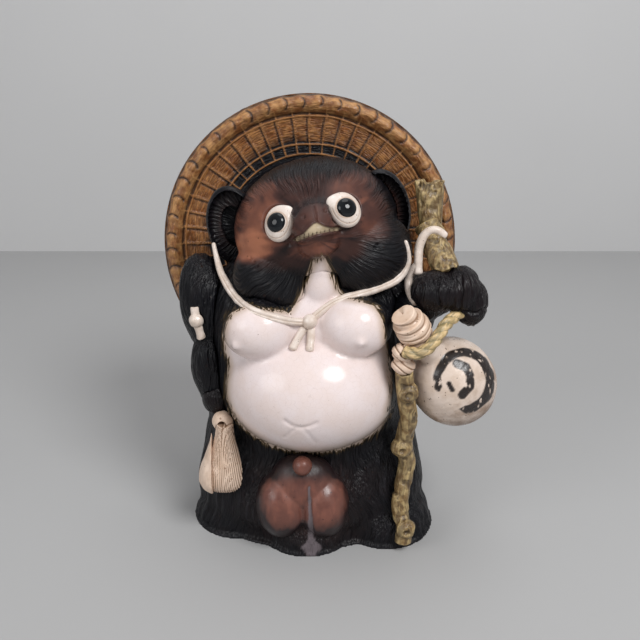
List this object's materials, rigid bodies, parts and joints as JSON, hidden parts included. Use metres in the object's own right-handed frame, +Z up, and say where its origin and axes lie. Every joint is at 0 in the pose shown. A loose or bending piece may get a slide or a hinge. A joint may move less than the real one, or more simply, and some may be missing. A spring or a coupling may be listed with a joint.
{
  "type": "raccoon dog figure",
  "caption": "Glazed stoneware raccoon-dog figure standing with a tilted straw hat, a flask, a crooked staff, an account book and a knotted neck cord.",
  "frame": {"origin": "on the floor, under the middle of the box that the whole figure fills", "axes": "+Z up, the figure faces -Y, its left side (flask and staff) is towards +X"},
  "size_m": [0.2844, 0.2059, 0.3614],
  "materials": {
    "body_slip": "gloss white slip with a black fur edge",
    "dark_glaze": "satin combed black",
    "face_glaze": "satin brown and black",
    "white_slip": "gloss white slip",
    "bead_black": "high gloss black",
    "straw_glaze": "satin ochre brown",
    "pouch_brown": "satin red brown",
    "staff_ochre": "satin olive and brown",
    "rope_green": "satin olive green",
    "paper_cream": "matt cream"
  },
  "bodies": {
    "root": {"body_front": "body_slip", "body_back": "dark_glaze", "tail": "dark_glaze", "lucky_pouch": "pouch_brown", "pouch_knob": "pouch_brown", "head_shell": "face_glaze", "ear_right": "face_glaze", "ear_left": "face_glaze", "lower_jaw": "face_glaze", "muzzle": "face_glaze", "teeth": "white_slip", "eye_white_right": "white_slip", "eye_white_left": "white_slip", "pupil_right": "bead_black", "pupil_left": "bead_black", "hat_rim": "straw_glaze", "hat": "straw_glaze", "arm_right": "dark_glaze", "paw_right": "dark_glaze", "arm_left": "dark_glaze", "paw_left": "dark_glaze", "cord_knot": "white_slip", "neck_cord_right": "white_slip", "neck_cord_left": "white_slip", "cord_tail_right": "white_slip", "cord_tail_left": "white_slip", "nipple_right": "body_slip", "nipple_left": "body_slip", "flask_body": "white_slip", "flask_stopper": "white_slip", "flask_cord": "rope_green", "staff_wrap": "white_slip", "staff_lower": "staff_ochre", "staff_middle": "staff_ochre", "staff_top": "staff_ochre", "tie_loop": "white_slip", "tie_hanging": "white_slip", "sleeve_tie": "white_slip", "account_book": "paper_cream", "book_cover": "paper_cream", "book_knot": "paper_cream"}
  },
  "joints": []
}
